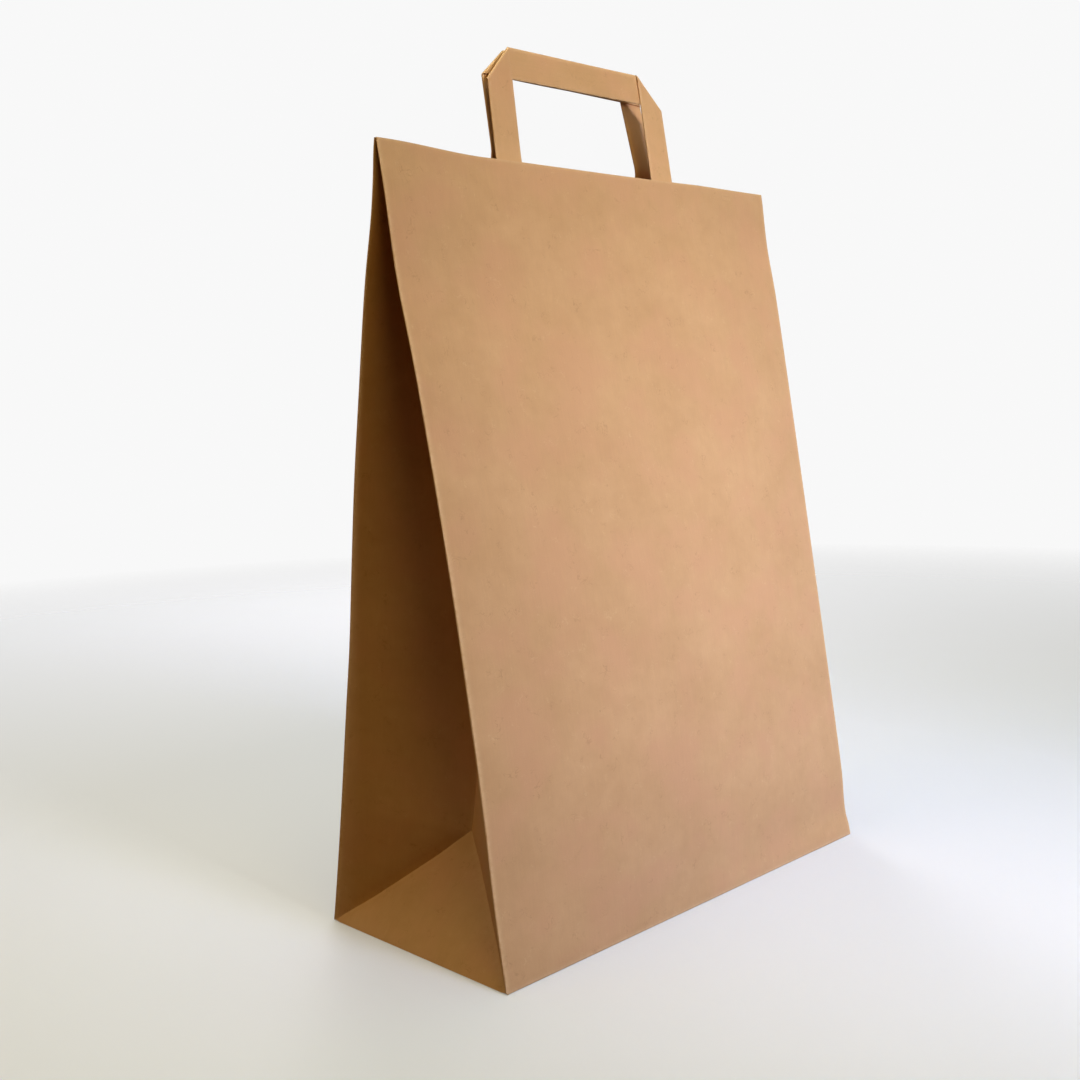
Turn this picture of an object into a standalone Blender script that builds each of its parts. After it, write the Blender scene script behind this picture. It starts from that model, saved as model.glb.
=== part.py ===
"""Paper carrier bag: a block-bottom bag folded from one sheet, with two flat paper handles.

The bag stands on its bottom with the gussets tucked in and the mouth pinched nearly shut.
Front is -Y, +Z is up, and the origin is the middle of the face it stands on. Units are metres.
"""

import math
from collections import namedtuple

import bmesh
import bpy
from mathutils import Vector

MM = 0.001

# Sheet of the bag
WIDTH = 260 * MM
DEPTH = 119 * MM
PANEL_LENGTH = 350 * MM
PAPER = 0.2 * MM
LAYER_GAP = 0.3 * MM

# Shape that the standing sheet takes. The front's mouth is measured from its closed place at the gussets' creases,
# the back's from where both handles just lie in the mouth, at the handles' outer edges.
GUSSET_APEX_IN = 36.3 * MM
FRONT_CROWN = 6 * MM
BACK_CROWN = 14 * MM
FRONT_MOUTH_LEFT = 4.8 * MM
FRONT_MOUTH_RIGHT = -1.6 * MM
BACK_MOUTH_LEFT = 2.34 * MM
BACK_MOUTH_RIGHT = 11.63 * MM

# Glued laps
SEAM_WIDTH = 18 * MM
SEAM_FROM_EDGE = 30 * MM
SEAM_RAMP = 0.5 * MM
FLAP_OVERLAP = 20 * MM
FLAP_INSET = 0.05 * MM

# Handles of flat folded tape, and the patches that hold them
HANDLE_WIDTH = 112 * MM
HANDLE_RISE = 50.5 * MM
HANDLE_INSIDE = 42 * MM
HANDLE_SHIFT = -2 * MM
HANDLE_LEAN = math.radians(9.5)
HANDLE_BEND = 6 * MM
TAPE_WIDTH = 14 * MM
TAPE_THICKNESS = 0.8 * MM
PATCH_BELOW_MOUTH = 6 * MM
PATCH_HEIGHT = 44 * MM
PATCH_SIDE = 8 * MM
PATCH_RAMP = 2 * MM

# Divisions of the surfaces
WIDEST_COLUMN = 18 * MM
GUSSET_COLUMNS = 6
UPPER_ROWS = 14
PATCH_ROWS = 5
HANDLE_CUTS = 4
PATH_STEPS = 24

# Values that follow from the sizes above. Layers that lie on each other are a pitch apart. Where the mouth is
# closed, each panel is one and a half pitches from the middle, with half a gusset between. The sheet's bottom
# lies over the two flaps.
HALF_WIDTH = WIDTH / 2
HALF_DEPTH = DEPTH / 2
GUSSET_INNER = HALF_WIDTH - HALF_DEPTH
PITCH = PAPER + LAYER_GAP
CLOSED = 1.5 * PITCH
BASE_HEIGHT = 2.5 * PAPER
APEX_HEIGHT = math.sqrt(HALF_DEPTH**2 - GUSSET_APEX_IN**2)
SEAM_LEFT = -HALF_WIDTH + SEAM_FROM_EDGE
SEAM_RIGHT = SEAM_LEFT + SEAM_WIDTH
TAPE_NEAR = PAPER / 2 + LAYER_GAP
BOTH_HANDLES = 2 * (TAPE_NEAR + 2 * TAPE_THICKNESS)
PATCH_HALF = HANDLE_WIDTH / 2 + PATCH_SIDE
COLUMN_STOPS = (-GUSSET_INNER, HANDLE_SHIFT - PATCH_HALF, HANDLE_SHIFT + PATCH_HALF, GUSSET_INNER)


def mix(a, b, share):
    return a + (b - a) * share


def back_mouth(x):
    """How far back of its closed place the back's mouth stands at x, with both handles in front of it."""
    front = mix(FRONT_MOUTH_LEFT, FRONT_MOUTH_RIGHT, (x / GUSSET_INNER + 1) / 2)
    across = (x - HANDLE_SHIFT) / HANDLE_WIDTH + 0.5
    return front + BOTH_HANDLES - 2 * CLOSED + mix(BACK_MOUTH_LEFT, BACK_MOUTH_RIGHT, across)


# side is -1 for the front; crown and bows are how far the middle and each edge stand out low down and high up
Panel = namedtuple("Panel", "side crown left_bow right_bow mouth_left mouth_right")
FRONT = Panel(
    side=-1,
    crown=(FRONT_CROWN, 0),
    left_bow=(3.0 * MM, 1.3 * MM),
    right_bow=(0.5 * MM, 0.5 * MM),
    mouth_left=FRONT_MOUTH_LEFT,
    mouth_right=FRONT_MOUTH_RIGHT,
)
BACK = Panel(
    side=1,
    crown=(BACK_CROWN / 2, BACK_CROWN / 2),
    left_bow=(-1.7 * MM, 2.2 * MM),
    right_bow=(1.0 * MM, 1.0 * MM),
    mouth_left=back_mouth(-GUSSET_INNER),
    mouth_right=back_mouth(GUSSET_INNER),
)

FRONT_PAPER = (0.56, 0.34, 0.19, 1)
HANDLE_PAPER = (0.58, 0.36, 0.2, 1)
PATCH_PAPER = (0.52, 0.32, 0.18, 1)


def remove_objects():
    for item in list(bpy.context.scene.objects):
        bpy.data.objects.remove(item, do_unlink=True)


def ease(share):
    """Goes from 0 to 1 and is level at both ends."""
    return share * share * (3 - 2 * share)


def paper_material(name, colour, roughness):
    material = bpy.data.materials.new(name)
    material.use_nodes = True
    shader = material.node_tree.nodes["Principled BSDF"]
    shader.inputs["Base Color"].default_value = colour
    shader.inputs["Roughness"].default_value = roughness
    shader.inputs["Metallic"].default_value = 0
    return material


def make_object(name, mesh_data, material=None):
    """Turns a bmesh into an object of the scene."""
    mesh = bpy.data.meshes.new(name)
    mesh_data.to_mesh(mesh)
    mesh_data.free()
    item = bpy.data.objects.new(name, mesh)
    bpy.context.scene.collection.objects.link(item)
    if material:
        mesh.materials.append(material)
    return item


def thicken(item, thickness):
    """Gives a surface its thickness, half to each side."""
    modifier = item.modifiers.new("paper thickness", "SOLIDIFY")
    modifier.thickness = thickness
    modifier.offset = 0
    modifier.use_even_offset = True
    modifier.use_rim = True
    return modifier


def join_to(item, helper):
    """Makes helper part of item's solid, and keeps helper as a hidden guide."""
    modifier = item.modifiers.new("joined " + helper.name, "BOOLEAN")
    modifier.operation = "UNION"
    modifier.solver = "EXACT"
    modifier.object = helper
    helper.hide_render = True
    helper.display_type = "WIRE"
    helper.parent = item


# Panels


def low_bow(share):
    """Bulge of height 1 with its peak a third of the way up, level at the mouth."""
    return 27 / 4 * share * (1 - share) ** 2


def high_bow(share):
    """Bulge of height 1 with its peak two thirds of the way up."""
    return 27 / 4 * share**2 * (1 - share)


def mouth_shift(panel, x):
    """How far back the mouth stands at x: not at all at the corners, in a straight line between the gussets."""
    if abs(x) <= GUSSET_INNER:
        return mix(panel.mouth_left, panel.mouth_right, (x / GUSSET_INNER + 1) / 2)
    end = panel.mouth_left if x < 0 else panel.mouth_right
    return end * ease((HALF_WIDTH - abs(x)) / HALF_DEPTH)


def panel_y(panel, x, s):
    """Depth of a panel at x, and at distance s up the sheet from the bottom fold."""
    share = s / PANEL_LENGTH
    across = (x / HALF_WIDTH + 1) / 2
    middle = 1 - (x / HALF_WIDTH) ** 2
    low = mix(panel.left_bow[0], panel.right_bow[0], across) + panel.crown[0] * middle
    high = mix(panel.left_bow[1], panel.right_bow[1], across) + panel.crown[1] * middle
    outward = mix(HALF_DEPTH, CLOSED, share) + low * low_bow(share) + high * high_bow(share)
    return panel.side * outward + mouth_shift(panel, x) * share


def panel_point(panel, x, s):
    """Point of a panel's middle surface. Steps up the sheet keep their length, so that leaning costs height."""
    step = s / PATH_STEPS
    height = BASE_HEIGHT
    if s > 0:
        depths = [panel_y(panel, x, step * i) for i in range(PATH_STEPS + 1)]
        for low, high in zip(depths, depths[1:]):
            height += math.sqrt(step**2 - (high - low) ** 2)
    return Vector((x, panel_y(panel, x, s), height))


def panel_inward(panel, x, s):
    """Unit vector from the panel into the bag."""
    step = MM
    across = panel_point(panel, x + step, s) - panel_point(panel, x - step, s)
    upward = panel_point(panel, x, s + step) - panel_point(panel, x, s - step)
    return across.cross(upward).normalized() * panel.side


def sheet_rows():
    """Distances up the sheet: even steps from the bottom fold to the gusset's apex, then to the mouth."""
    lower = [HALF_DEPTH * i / GUSSET_COLUMNS for i in range(GUSSET_COLUMNS)]
    upper = [mix(HALF_DEPTH, PANEL_LENGTH, i / UPPER_ROWS) for i in range(UPPER_ROWS + 1)]
    return lower + upper


def panel_column(panel, x):
    return [panel_point(panel, x, s) for s in sheet_rows()]


def seam_column(x):
    """Column of the back where the sheet laps itself: half a paper further out, except at the bottom fold."""
    points = panel_column(BACK, x)
    for i, s in enumerate(sheet_rows()):
        if i > 0:
            points[i] -= panel_inward(BACK, x, s) * (PAPER / 2)
    return points


def column_places(start, end):
    """Places of columns from start to end: one at each crease and patch edge, and even steps between those."""
    inside = [x for x in COLUMN_STOPS if min(start, end) < x < max(start, end)]
    stops = sorted({start, end, *inside}, reverse=start > end)
    places = [start]
    for low, high in zip(stops, stops[1:]):
        steps = math.ceil(abs(high - low) / WIDEST_COLUMN)
        places += [mix(low, high, (i + 1) / steps) for i in range(steps)]
    return places


def back_columns():
    """Columns of the back from right to left, and the number of the first of the two that edge the side seam."""
    right = column_places(HALF_WIDTH, SEAM_RIGHT + SEAM_RAMP)
    left = column_places(SEAM_LEFT - SEAM_RAMP, -HALF_WIDTH)
    columns = [panel_column(BACK, x) for x in right]
    columns += [seam_column(SEAM_RIGHT), seam_column(SEAM_LEFT)]
    columns += [panel_column(BACK, x) for x in left]
    return columns, len(right)


# Gussets


def gusset_crease(hand, top_height, half):
    """Middle crease of a gusset from its apex to the mouth. hand is -1 for the left, half is -1 for the front layer."""
    mouth = (FRONT.mouth_left + BACK.mouth_left) / 2
    if hand > 0:
        mouth = (FRONT.mouth_right + BACK.mouth_right) / 2
    points = []
    for i in range(UPPER_ROWS + 1):
        share = i / UPPER_ROWS
        inward = math.sqrt(HALF_DEPTH**2 - (APEX_HEIGHT * (1 - share)) ** 2)
        height = mix(BASE_HEIGHT + APEX_HEIGHT, top_height, share)
        points.append(Vector((hand * (HALF_WIDTH - inward), mouth * share + half * PITCH / 2, height)))
    return points


def half_gusset(hand, half):
    """Columns of half a gusset, from its outer fold to its middle crease.

    Under the apex the sheet folds along a diagonal from the bottom corner, so that the part
    nearer the crease is half of the bottom triangle.
    """
    panel = FRONT if half < 0 else BACK
    lift = Vector((0, -half * PITCH, 0))
    fold = [point + lift for point in panel_column(panel, hand * HALF_WIDTH)]
    crease = gusset_crease(hand, fold[-1].z, half)
    corner = fold[0]
    apex = crease[0]
    foot = Vector((hand * HALF_WIDTH, half * PITCH / 2, BASE_HEIGHT))
    columns = []
    for j in range(GUSSET_COLUMNS + 1):
        across = j / GUSSET_COLUMNS
        column = []
        for i in range(GUSSET_COLUMNS):
            diagonal = corner.lerp(apex, i / GUSSET_COLUMNS)
            middle = foot.lerp(apex, i / GUSSET_COLUMNS)
            if j <= i:
                column.append(fold[i].lerp(diagonal, j / i if i else 0))
            else:
                column.append(diagonal.lerp(middle, (j - i) / (GUSSET_COLUMNS - i)))
        for i, inner in enumerate(crease):
            outer = fold[GUSSET_COLUMNS + i]
            point = outer.lerp(inner, across)
            point.y = mix(outer.y, inner.y, mix(across, ease(across), i / UPPER_ROWS))
            column.append(point)
        columns.append(column)
    return columns


# Bag body


def diagonal_folds(first, falling):
    """Where a half gusset's diagonal fold crosses its strips, as strip: (row, falling)."""
    rows = range(GUSSET_COLUMNS)
    if falling:
        rows = reversed(rows)
    return {first + j: (row, falling) for j, row in enumerate(rows)}


def add_sheet(mesh_data, columns, closed=False, folds=None):
    """Skins a grid of points, given as columns. A square that a diagonal fold crosses becomes two triangles."""
    grid = [[mesh_data.verts.new(point) for point in column] for column in columns]
    strips = len(grid) if closed else len(grid) - 1
    for strip in range(strips):
        left = grid[strip]
        right = grid[(strip + 1) % len(grid)]
        fold_row, falling = (folds or {}).get(strip, (None, False))
        for row in range(len(left) - 1):
            corners = (left[row], right[row], right[row + 1], left[row + 1])
            if row != fold_row:
                mesh_data.faces.new(corners)
            elif falling:
                mesh_data.faces.new((corners[0], corners[1], corners[3]))
                mesh_data.faces.new((corners[1], corners[2], corners[3]))
            else:
                mesh_data.faces.new((corners[0], corners[1], corners[2]))
                mesh_data.faces.new((corners[0], corners[2], corners[3]))
    return grid


def bag_sheet():
    """The folded sheet's middle surface: two panels, two gussets and the bottom, open at the mouth.

    Also gives the numbers of the points where the side seam makes it two papers thick.
    """
    back, seam_start = back_columns()
    groups = [
        ([panel_column(FRONT, x) for x in column_places(-HALF_WIDTH, HALF_WIDTH)], None),
        (half_gusset(1, -1), False),
        (half_gusset(1, 1)[::-1], True),
        (back, None),
        (half_gusset(-1, 1), False),
        (half_gusset(-1, -1)[::-1], True),
    ]
    columns = []
    folds = {}
    for group, falling in groups:
        if falling is not None:
            folds.update(diagonal_folds(len(columns), falling))
        if group is back:
            seam_start += len(columns)
        columns += group
    mesh_data = bmesh.new()
    grid = add_sheet(mesh_data, columns, closed=True, folds=folds)
    bmesh.ops.triangulate(mesh_data, faces=mesh_data.faces, quad_method="FIXED")
    mesh_data.faces.new([column[0] for column in reversed(grid)])
    mesh_data.verts.index_update()
    lapped = [point.index for column in grid[seam_start : seam_start + 2] for point in column[1:]]
    return mesh_data, lapped


def prism(outline, low, high):
    """Solid over a flat outline."""
    mesh_data = bmesh.new()
    base = mesh_data.faces.new([mesh_data.verts.new((x, y, low)) for x, y in outline])
    raised = bmesh.ops.extrude_face_region(mesh_data, geom=[base])
    for item in raised["geom"]:
        if isinstance(item, bmesh.types.BMVert):
            item.co.z = high
    bmesh.ops.recalc_face_normals(mesh_data, faces=mesh_data.faces)
    return mesh_data


def bottom_flap(name, side, low):
    """Outer flap of the block bottom, folded in from the panel on that side, with 45 degree ends."""
    edge = HALF_DEPTH - FLAP_INSET
    reach = edge + FLAP_OVERLAP / 2
    long_half = HALF_WIDTH - FLAP_INSET
    short_half = long_half - reach
    outline = [
        (-long_half, side * edge),
        (long_half, side * edge),
        (short_half, side * (edge - reach)),
        (-short_half, side * (edge - reach)),
    ]
    return make_object(name, prism(outline, low, BASE_HEIGHT))


def bag_body():
    sheet, lapped = bag_sheet()
    body = make_object("bag_body", sheet, paper_material("kraft sheet", FRONT_PAPER, 0.85))
    group = body.vertex_groups.new(name="side_seam")
    group.add(lapped, 1, "REPLACE")
    modifier = thicken(body, 2 * PAPER)
    modifier.vertex_group = group.name
    modifier.thickness_vertex_group = 0.5
    join_to(body, bottom_flap("back_bottom_flap", BACK.side, PAPER))
    join_to(body, bottom_flap("front_bottom_flap", FRONT.side, 0))
    return body


# Handles and patches


def tape_point(panel, across, up, depth):
    """Point of a handle or patch: across from its middle, up from the mouth edge, depth in from the panel's middle.

    Inside the bag it follows the panel, and above the mouth it bends to the handles' own lean.
    """
    x = HANDLE_SHIFT + across
    if up <= 0:
        s = PANEL_LENGTH + up
        return panel_point(panel, x, s) + panel_inward(panel, x, s) * depth
    centre = panel_point(panel, HANDLE_SHIFT, PANEL_LENGTH)
    along = panel_point(panel, HANDLE_SHIFT + MM, PANEL_LENGTH) - centre
    below = centre - panel_point(panel, HANDLE_SHIFT, PANEL_LENGTH - MM)
    panel_lean = math.atan2(below.y, below.z)
    point = panel_point(panel, x, PANEL_LENGTH)
    step = up / PATH_STEPS
    for i in range(PATH_STEPS):
        lean = mix(panel_lean, HANDLE_LEAN, min((i + 0.5) * step / HANDLE_BEND, 1))
        point += Vector((0, math.sin(lean), math.cos(lean))) * step
    lean = mix(panel_lean, HANDLE_LEAN, min(up / HANDLE_BEND, 1))
    upward = Vector((0, math.sin(lean), math.cos(lean)))
    return point + along.cross(upward).normalized() * (panel.side * depth)


def layered_solid(cells, levels, place):
    """Solid of flat cells, each an outline with the layers it fills. Levels are the layers' limits."""
    mesh_data = bmesh.new()
    points = {}
    filled = {}

    def point(spot, level):
        if (spot, level) not in points:
            points[spot, level] = mesh_data.verts.new(place(*spot, levels[level]))
        return points[spot, level]

    for outline, layers in cells:
        for start, end in zip(outline, outline[1:] + outline[:1]):
            filled[start, end] = layers
    for outline, layers in cells:
        for layer in layers:
            if layer - 1 not in layers:
                mesh_data.faces.new([point(spot, layer) for spot in reversed(outline)])
            if layer + 1 not in layers:
                mesh_data.faces.new([point(spot, layer + 1) for spot in outline])
            for start, end in zip(outline, outline[1:] + outline[:1]):
                if layer not in filled.get((end, start), ()):
                    side = (point(start, layer), point(end, layer), point(end, layer + 1), point(start, layer + 1))
                    mesh_data.faces.new(side)
    return mesh_data


def handle(name, panel):
    """One tape folded at 45 degrees into two legs and a grip. The legs lie on the panel's side of the grip."""
    outer = HANDLE_WIDTH / 2
    inner = outer - TAPE_WIDTH
    shoulder = HANDLE_RISE - TAPE_WIDTH
    inside = [-HANDLE_INSIDE * (1 - i / HANDLE_CUTS) for i in range(HANDLE_CUTS)]
    bend = [HANDLE_BEND * i / HANDLE_CUTS for i in range(HANDLE_CUTS + 1)]
    rises = inside + bend + [shoulder]
    cells = [([(-inner, shoulder), (inner, shoulder), (inner, HANDLE_RISE), (-inner, HANDLE_RISE)], (1,))]
    for low, high in zip(rises, rises[1:]):
        cells.append(([(-outer, low), (-inner, low), (-inner, high), (-outer, high)], (0,)))
        cells.append(([(inner, low), (outer, low), (outer, high), (inner, high)], (0,)))
    cells.append(([(-outer, shoulder), (-inner, shoulder), (-inner, HANDLE_RISE)], (0, 1)))
    cells.append(([(inner, shoulder), (outer, shoulder), (inner, HANDLE_RISE)], (0, 1)))
    levels = [TAPE_NEAR + TAPE_THICKNESS * i for i in range(3)]
    mesh_data = layered_solid(cells, levels, lambda across, up, depth: tape_point(panel, across, up, depth))
    if panel is FRONT:
        bmesh.ops.reverse_faces(mesh_data, faces=mesh_data.faces)
    return make_object(name, mesh_data, paper_material("folded tape", HANDLE_PAPER, 0.8))


def patch(name, panel):
    """Strip of paper glued over the ends of a handle's legs, on the panel between them and raised over each leg."""
    outer = HANDLE_WIDTH / 2 + PITCH
    inner = HANDLE_WIDTH / 2 - TAPE_WIDTH - PITCH
    low = PITCH
    high = TAPE_NEAR + TAPE_THICKNESS + PITCH - PAPER / 2
    right_half = [
        (inner - PATCH_RAMP, low),
        (inner, high),
        (outer, high),
        (outer + PATCH_RAMP, low),
        (PATCH_HALF, low),
    ]
    profile = [(-across, depth) for across, depth in reversed(right_half)] + right_half
    rises = [-PATCH_BELOW_MOUTH - PATCH_HEIGHT * (1 - i / PATCH_ROWS) for i in range(PATCH_ROWS + 1)]
    columns = [[tape_point(panel, across, up, depth) for up in rises] for across, depth in profile]
    mesh_data = bmesh.new()
    add_sheet(mesh_data, columns)
    bmesh.ops.triangulate(mesh_data, faces=mesh_data.faces, quad_method="FIXED")
    item = make_object(name, mesh_data, paper_material("patch paper", PATCH_PAPER, 0.85))
    thicken(item, PAPER)
    return item


def main():
    remove_objects()
    carrier_bag = bpy.data.objects.new("carrier_bag", None)
    bpy.context.scene.collection.objects.link(carrier_bag)
    pieces = [
        bag_body(),
        handle("front_handle", FRONT),
        handle("back_handle", BACK),
        patch("front_handle_patch", FRONT),
        patch("back_handle_patch", BACK),
    ]
    for piece in pieces:
        piece.parent = carrier_bag


main()
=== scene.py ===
"""Standing carrier bag of brown kraft paper with two handles of folded paper tape, laid out as an add-on.

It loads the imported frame, lays every sheet of paper where the frame has it, and sets a plain studio
round it. Lengths are metres, front is -Y and +Z is up.
"""

import math
from collections import namedtuple

import bpy
import numpy as np
from bpy.props import FloatProperty, FloatVectorProperty, PointerProperty
from bpy.types import Operator, Panel, PropertyGroup
from mathutils import Matrix, Vector


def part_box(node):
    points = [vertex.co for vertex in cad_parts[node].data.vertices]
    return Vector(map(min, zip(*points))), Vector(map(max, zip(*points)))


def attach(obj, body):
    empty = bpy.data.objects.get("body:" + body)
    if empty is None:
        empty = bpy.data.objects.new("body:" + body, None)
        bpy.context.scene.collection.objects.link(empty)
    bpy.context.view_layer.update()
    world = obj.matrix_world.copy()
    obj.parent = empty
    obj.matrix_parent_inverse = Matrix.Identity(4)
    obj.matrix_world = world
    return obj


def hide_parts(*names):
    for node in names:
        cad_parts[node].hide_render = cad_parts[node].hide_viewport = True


bl_info = {
    "name": "Kraft Carrier Bag",
    "version": (1, 0, 0),
    "blender": (4, 5, 0),
    "location": "View3D > Sidebar > Paper Bag",
    "description": "Builds a standing block-bottom paper bag with folded tape handles, and a plain studio",
    "category": "Add Mesh",
}

MM = 0.001

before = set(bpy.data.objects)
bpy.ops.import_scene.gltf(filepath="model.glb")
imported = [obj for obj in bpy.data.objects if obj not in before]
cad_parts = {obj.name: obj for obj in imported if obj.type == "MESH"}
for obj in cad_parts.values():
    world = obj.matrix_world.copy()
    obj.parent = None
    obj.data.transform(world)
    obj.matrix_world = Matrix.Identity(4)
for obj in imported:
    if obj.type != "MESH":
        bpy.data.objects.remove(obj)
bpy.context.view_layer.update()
BODY_LOW, BODY_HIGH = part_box("bag_body")

# Layers of paper that lie on each other are a pitch apart, and the closed mouth holds the panels one and
# a half pitches from the middle. The base and the flaps have their heights from the floor, and at its open
# ends the base comes down on the floor over the base slope.
PITCH = 0.5 * MM
CLOSED = 1.5 * PITCH
INNER_BASE = 0.6 * MM
BASE_ON_FLOOR = 0.14 * MM
BASE_SLOPE = 5 * MM
FRONT_FLAP = 0.1 * MM
BACK_FLAP = 0.35 * MM
CORNER_HEIGHT = INNER_BASE
TAPE_THICKNESS = 0.8 * MM

# How a standing panel curves: crown and bows are low down and high up, and mouth is how far back it stands
# left and right. cut is how much higher the mouth was cut on its left, and at the front as much lower on
# its right. A dent of a side fold has its height up the sheet as a share, how far out it goes, and its
# length as a share.
PanelShape = namedtuple("PanelShape", "side crown left_bow right_bow left_dents right_dents mouth cut seed")
FRONT_PANEL = PanelShape(
    side=-1,
    crown=(6 * MM, 0),
    left_bow=(3.0 * MM, 1.3 * MM),
    right_bow=(0.5 * MM, 0.5 * MM),
    left_dents=[(0.11, -1.0 * MM, 0.09), (0.5, 0.6 * MM, 0.15), (0.84, -1.8 * MM, 0.08)],
    right_dents=[(0.04, -1.3 * MM, 0.04), (0.92, -1.0 * MM, 0.05)],
    mouth=(4.8 * MM, -1.6 * MM),
    cut=0.6 * MM,
    seed=4,
)
BACK_PANEL = PanelShape(
    side=1,
    crown=(7 * MM, 7 * MM),
    left_bow=(-1.7 * MM, 2.2 * MM),
    right_bow=(1.0 * MM, 1.0 * MM),
    left_dents=[(0.39, -0.6 * MM, 0.07), (0.6, 0.6 * MM, 0.09), (0.92, -1.5 * MM, 0.06)],
    right_dents=[],
    mouth=(8.6 * MM, 13.9 * MM),
    cut=-0.8 * MM,
    seed=9,
)

# The soft waves fade out over these lengths towards the foot, the mouth and the side folds
CALM_FOOT = 45 * MM
CALM_MOUTH = 70 * MM
CALM_SIDE = 22 * MM

# How far the diagonal folds at the gussets' feet are pressed in and down, and over what length from their
# ends that grows
CREASE_PRESS = 1.2 * MM
CREASE_DROP = 0.75 * MM
CREASE_FADE = 18 * MM

# A gusset's foot finds an even curve up to this many rows above the apex, in this many rounds
EVEN_ROWS = 26
EVEN_ROUNDS = 400

# A gusset's lowest rows bend down to the floor, less and less up to the foot's rise
FOOT_ROWS = 4
FOOT_RISE = 4 * MM

# Lap seam of the back, and the flaps under the bottom
SEAM_LEFT = -100 * MM
SEAM_RIGHT = -82 * MM
SEAM_STEP = 0.26 * MM
SEAM_SLOPE = 3 * MM
FLAP_LAP = 10 * MM
FLAP_TURNS = [30, 60, 90]

# Shifts on the texture that keep the base, the tape's two faces, the two handles and the patches apart
BASE_APART = (2.0, 0.5)
FACES_APART = 0.03
HANDLES_APART = 0.1
PATCHES_APART = 3.0

# Steps of a graded run, fine beside a fold and wider away from it
FOLD_STEPS = [0, 0.5, 1.2, 2.2, 3.6, 5.5, 8, 11.2, 14.8, 18.5, 22.3, 26.1]
WIDE_STEP = 3.5 * MM
ROW_STEP = 3.7 * MM
MOUTH_STEPS = [2.2, 1.2, 0.5, 0]
ARC_TURNS = [45, 90, 135]
PATH_STEPS = 40
BASE_STEPS = 36
FLAP_STEPS = 22
SHARP_FOLD = math.radians(26)


# Sizes and finishes that a user would change


def length_setting(name, description, default=0.0, precision=2):
    return FloatProperty(
        name=name, description=description, default=default, precision=precision, unit="LENGTH"
    )


def angle_setting(name, description):
    return FloatProperty(name=name, description=description, default=0, unit="ROTATION")


def colour_setting(name, description, default):
    return FloatVectorProperty(name=name, description=description, default=default, subtype="COLOR")


class BagSizes(PropertyGroup):
    width: length_setting(
        "Width", "Width of the front and back panels", round(BODY_HIGH.x - BODY_LOW.x, 3)
    )
    depth: length_setting(
        "Depth", "Depth of the block bottom, and width of each gusset", round(BODY_HIGH.y - BODY_LOW.y, 3)
    )
    panel_length: length_setting(
        "Panel length", "Length of the sheet from the bottom fold to the mouth", 350 * MM
    )
    paper: length_setting("Paper thickness", "Thickness of the sheet", 0.2 * MM, 5)
    apex_in: length_setting(
        "Gusset tuck", "How far in the top of the bottom triangle stands from the bag's side", 36.3 * MM
    )
    fold_radius: length_setting("Fold radius", "Radius of the side folds low down", 0.5 * MM, 5)
    waviness: length_setting("Waviness", "Height of the soft waves in the panels", 0.45 * MM, 5)


class HandleSizes(PropertyGroup):
    inside: length_setting("Inside", "Length of the legs inside the bag", 42 * MM)
    tape_thickness: length_setting("Tape thickness", "Thickness of the folded tape", TAPE_THICKNESS, 5)


class HandlePlace(PropertyGroup):
    width: length_setting("Width", "Width over the outside of the legs")
    rise: length_setting("Rise", "Height of the handle above the mouth")
    shift: length_setting("Shift", "Place of the handle across the bag")
    tape_width: length_setting("Tape width", "Width of the tape")
    leg_widening: FloatProperty(
        name="Leg widening", description="How much wider the legs are than the grip", default=1, min=0.5
    )
    lean: angle_setting("Lean", "Lean of the handle towards the back")
    twist: angle_setting("Twist", "How much more the right leg leans than the middle")
    tilt: angle_setting("Tilt", "Slope of the grip, up to the right")
    shoulder_drop: length_setting("Shoulder drop", "How much lower the folds' outer ends are")


class PaperFinish(PropertyGroup):
    light: colour_setting("Light kraft", "Lighter parts of the paper", (0.62, 0.385, 0.225))
    dark: colour_setting("Dark kraft", "Darker clouds in the paper", (0.53, 0.32, 0.175))
    rosy: colour_setting("Rosy kraft", "Rosier clouds in the paper", (0.6, 0.34, 0.21))
    fibre: colour_setting("Fibre", "Dark fibres in the paper", (0.3, 0.165, 0.08))
    # Paler paper for rubbed folds and cut edges, which also paints a highlight along the folds
    worn_and_highlit: colour_setting("Worn fold and highlight", "Paper along folds and cut edges", (0.72, 0.5, 0.31))
    roughness: FloatProperty(
        name="Roughness", description="Roughness of the paper", default=0.82, min=0, max=1, subtype="FACTOR"
    )


class StudioSettings(PropertyGroup):
    backdrop: colour_setting("Backdrop", "Colour behind the bag", (0.94, 0.94, 0.94))
    floor: colour_setting(
        "Floor", "Colour of the floor, cool enough to look neutral in the warm light", (0.62, 0.67, 0.85)
    )
    floor_glow: FloatProperty(
        name="Floor glow", description="How pale the floor is where no light falls", default=0.13, min=0
    )
    light: FloatProperty(
        name="Light", description="Share of the usual strength of all lights", default=1, min=0
    )


# Curves shared by the sheets


def mix(a, b, share):
    return a + (b - a) * share


def ease(share):
    """Goes from 0 to 1 and is level at both ends."""
    share = np.clip(share, 0, 1)
    return share * share * (3 - 2 * share)


def low_bow(share):
    return 27 / 4 * share * (1 - share) ** 2


def high_bow(share):
    return 27 / 4 * share**2 * (1 - share)


def nearness(distance, reach):
    """1 at no distance, and close to 0 past twice the reach."""
    return np.exp(-((distance / reach) ** 2))


def dents(places, share):
    """How far a side fold is dented out, and not at all at its two ends."""
    total = np.zeros_like(share)
    for middle, height, length in places:
        total = total + height * nearness(share - middle, length)
    ends = 0.04
    return total * ease(share / ends) * ease((1 - share) / ends)


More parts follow.
